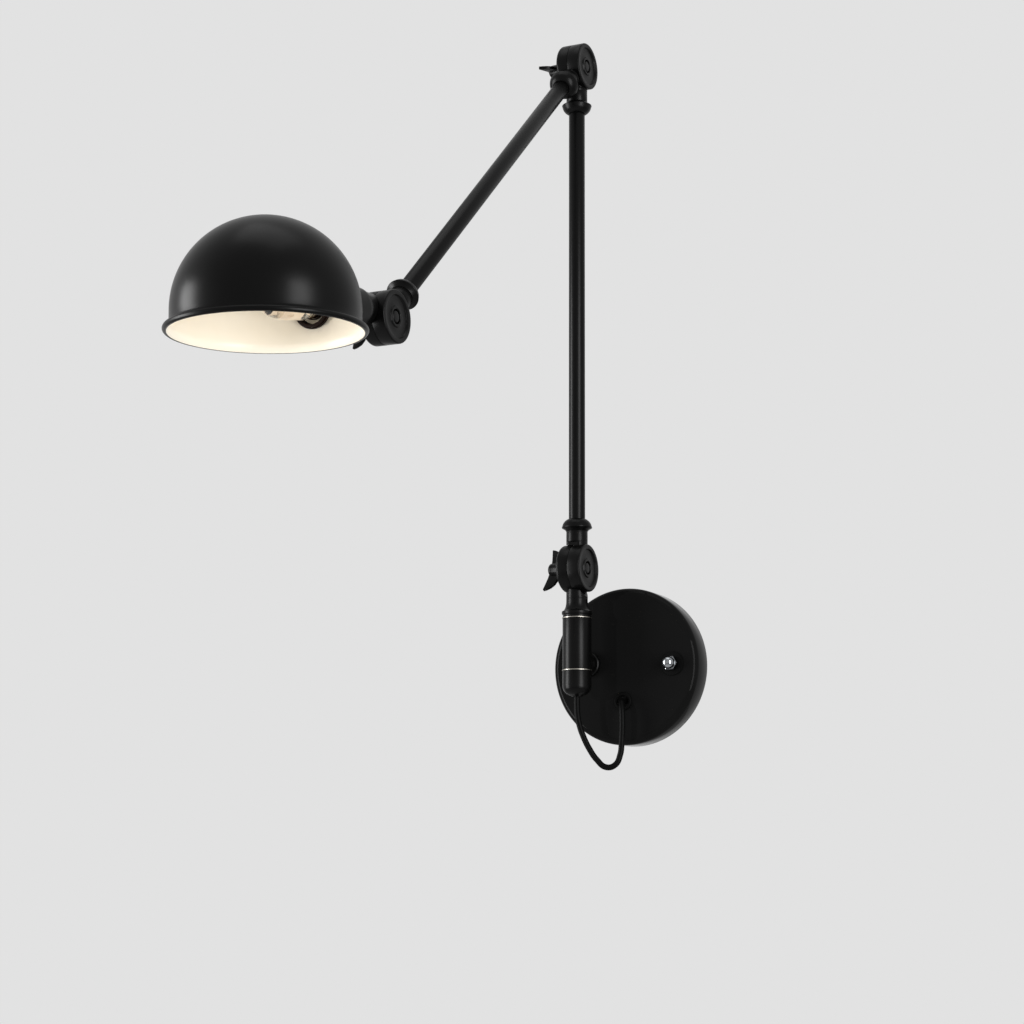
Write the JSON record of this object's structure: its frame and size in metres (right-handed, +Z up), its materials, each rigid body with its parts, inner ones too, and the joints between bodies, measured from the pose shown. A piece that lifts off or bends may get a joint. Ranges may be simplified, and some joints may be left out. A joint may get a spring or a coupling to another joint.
{
  "type": "swing arm wall lamp",
  "caption": "Wall lamp with a round canopy, a swivelling two-part arm with clamping knuckles and a small dome shade that tilts.",
  "frame": {"origin": "centre of the canopy's back face, on the wall", "axes": "+X to the right seen from the room, -Y out into the room, +Z up the wall"},
  "size_m": [0.1572, 0.5375, 0.5714],
  "materials": {
    "gloss_black": "gloss black enamel",
    "satin_black": "satin black powder coat",
    "zinc_steel": "zinc plated",
    "chrome": "polished",
    "brass": "plain",
    "bright_ring": "turned bright",
    "rubber_black": "matt",
    "cable_black": "smooth black sheath",
    "block_cream": "moulded",
    "fibre": "vulcanised fibre",
    "nylon_grey": "turned",
    "bakelite": "dark brown moulding",
    "shade_black": "satin black outside, white enamel inside",
    "bulb_glass": "clear",
    "filament": "lit filament and its stem"
  },
  "bodies": {
    "wall_base": {"canopy": "gloss_black", "mounting_bar": "zinc_steel", "canopy_stud": "zinc_steel", "nut_washer": "rubber_black", "acorn_nut": "chrome", "pivot_stub": "satin_black", "backing_plate": "zinc_steel", "stub_lock_nut": "brass", "barrel": "satin_black", "barrel_top_ring": "bright_ring", "barrel_bottom_ring": "bright_ring", "barrel_cap": "satin_black", "cable_grommet": "rubber_black", "terminal_block": "block_cream", "terminal_screws": "brass", "earth_screw": "brass", "barrel_lead": "cable_black", "cord_loop": "cable_black"},
    "swivel": {"base_knuckle": "satin_black", "spindle_washer": "zinc_steel", "spindle_nut": "zinc_steel", "lower_pressure_washer": "satin_black"},
    "lower_arm": {"lower_arm_foot": "satin_black", "lower_arm_head": "satin_black", "lower_arm_tube": "satin_black", "lower_arm_collars": "satin_black", "lower_arm_bushes": "nylon_grey", "lower_arm_lead": "cable_black", "lower_bolt": "satin_black", "upper_bolt": "satin_black", "lower_friction_washer": "fibre", "upper_friction_washer": "fibre"},
    "upper_arm": {"upper_arm_head": "satin_black", "upper_arm_foot": "satin_black", "upper_arm_tube": "satin_black", "upper_arm_collars": "satin_black", "upper_arm_bushes": "nylon_grey", "upper_arm_lead": "cable_black", "head_bolt": "satin_black", "upper_pressure_washer": "satin_black", "head_friction_washer": "fibre"},
    "head": {"head_knuckle": "satin_black", "head_pressure_washer": "satin_black", "socket_cup": "satin_black", "socket_nipple": "brass", "nipple_nut": "brass", "lampholder": "bakelite", "socket_shell": "brass", "socket_contact": "brass", "shade_ring": "bakelite", "shade": "shade_black", "bulb_cap": "brass", "bulb_glass": "bulb_glass", "bulb_filament": "filament"},
    "lower_wing": {"lower_wing_nut": "satin_black"},
    "upper_wing": {"upper_wing_nut": "satin_black"},
    "head_wing": {"head_wing_nut": "satin_black"}
  },
  "joints": [
    {"name": "swivel", "type": "hinge", "parent": "wall_base", "child": "swivel", "pos_m": [-0.0282, -0.0445, 0], "axis": [0, 0, 1], "range_deg": [-80, 80]},
    {"name": "lower_pivot", "type": "hinge", "parent": "swivel", "child": "lower_arm", "pos_m": [-0.0282, -0.0445, 0.0735], "axis": [1, 0, 0], "range_deg": [-3, 100]},
    {"name": "upper_pivot", "type": "hinge", "parent": "lower_arm", "child": "upper_arm", "pos_m": [-0.0282, -0.0445, 0.4735], "axis": [1, 0, 0], "range_deg": [-120, 1]},
    {"name": "head_pivot", "type": "hinge", "parent": "upper_arm", "child": "head", "pos_m": [-0.0282, -0.33941, 0.20326], "axis": [1, 0, 0], "range_deg": [-60, 100]},
    {"name": "lower_wing_turn", "type": "hinge", "parent": "lower_arm", "child": "lower_wing", "pos_m": [-0.0282, -0.0445, 0.0735], "axis": [1, 0, 0], "range_deg": [-180, 180]},
    {"name": "upper_wing_turn", "type": "hinge", "parent": "lower_arm", "child": "upper_wing", "pos_m": [-0.0282, -0.0445, 0.4735], "axis": [1, 0, 0], "range_deg": [-180, 180]},
    {"name": "head_wing_turn", "type": "hinge", "parent": "upper_arm", "child": "head_wing", "pos_m": [-0.0282, -0.33941, 0.20326], "axis": [1, 0, 0], "range_deg": [-180, 180]}
  ]
}
